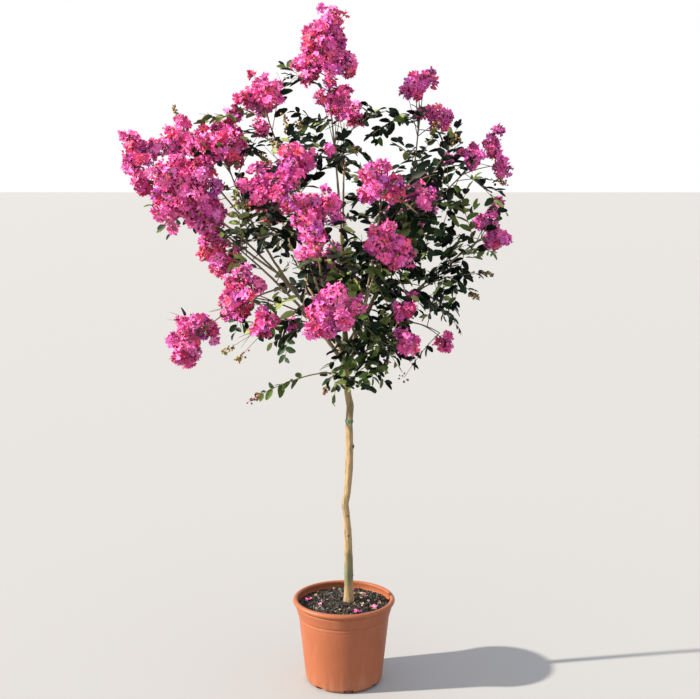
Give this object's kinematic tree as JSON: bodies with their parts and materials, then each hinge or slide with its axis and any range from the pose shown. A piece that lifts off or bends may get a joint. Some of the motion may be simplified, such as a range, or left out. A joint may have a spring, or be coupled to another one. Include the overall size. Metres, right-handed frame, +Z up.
{
  "type": "potted crape myrtle tree",
  "caption": "Small crape myrtle tree with a bare slender trunk and an open crown of pink flower heads and dark leaves, standing in a round terracotta-coloured nursery pot.",
  "frame": {"origin": "centre of the pot's flat underside, on the surface it stands on", "axes": "+Z up along the trunk, -Y to the front as in the picture, +X to the viewer's right"},
  "size_m": [1.0774, 0.8746, 1.9433],
  "materials": {
    "pot": "matte moulded terracotta-coloured plastic",
    "potting_mix": "dark crumbly potting mix with bark chips",
    "bark": "smooth tan and grey bark",
    "tie": "green garden tape and string",
    "foliage": "pink crinkled flowers and dark green leaves on thin twigs"
  },
  "bodies": {
    "root": {"bough_back_high": "bark", "bough_back_left": "bark", "bough_back_low": "bark", "bough_back_right": "bark", "bough_centre": "bark", "bough_centre_high": "bark", "bough_far_left": "bark", "bough_far_low_left": "bark", "bough_far_low_right": "bark", "bough_far_right": "bark", "bough_front_low": "bark", "bough_high_left": "bark", "bough_high_right": "bark", "bough_left_crest": "bark", "bough_left_front": "bark", "bough_left_hang": "bark", "bough_left_shoulder": "bark", "bough_low_front_left": "bark", "bough_low_left": "bark", "bough_low_right": "bark", "bough_right": "bark", "bough_right_centre": "bark", "bough_right_front": "bark", "bough_right_low": "bark", "bough_right_mid": "bark", "bough_top_plume": "bark", "foliage_back_high": "foliage", "foliage_back_left": "foliage", "foliage_back_low": "foliage", "foliage_back_right": "foliage", "foliage_centre": "foliage", "foliage_centre_high": "foliage", "foliage_far_left": "foliage", "foliage_far_low_left": "foliage", "foliage_far_low_right": "foliage", "foliage_far_right": "foliage", "foliage_front_low": "foliage", "foliage_heart": "foliage", "foliage_high_left": "foliage", "foliage_high_right": "foliage", "foliage_left_crest": "foliage", "foliage_left_front": "foliage", "foliage_left_hang": "foliage", "foliage_left_shoulder": "foliage", "foliage_low_front_left": "foliage", "foliage_low_left": "foliage", "foliage_low_right": "foliage", "foliage_right": "foliage", "foliage_right_centre": "foliage", "foliage_right_front": "foliage", "foliage_right_low": "foliage", "foliage_right_mid": "foliage", "foliage_skirt": "foliage", "foliage_top_plume": "foliage", "foliage_trailing": "foliage", "lower_tie": "tie", "pot": "pot", "potting_mix": "potting_mix", "trunk": "bark", "upper_tie": "tie"}
  },
  "joints": []
}
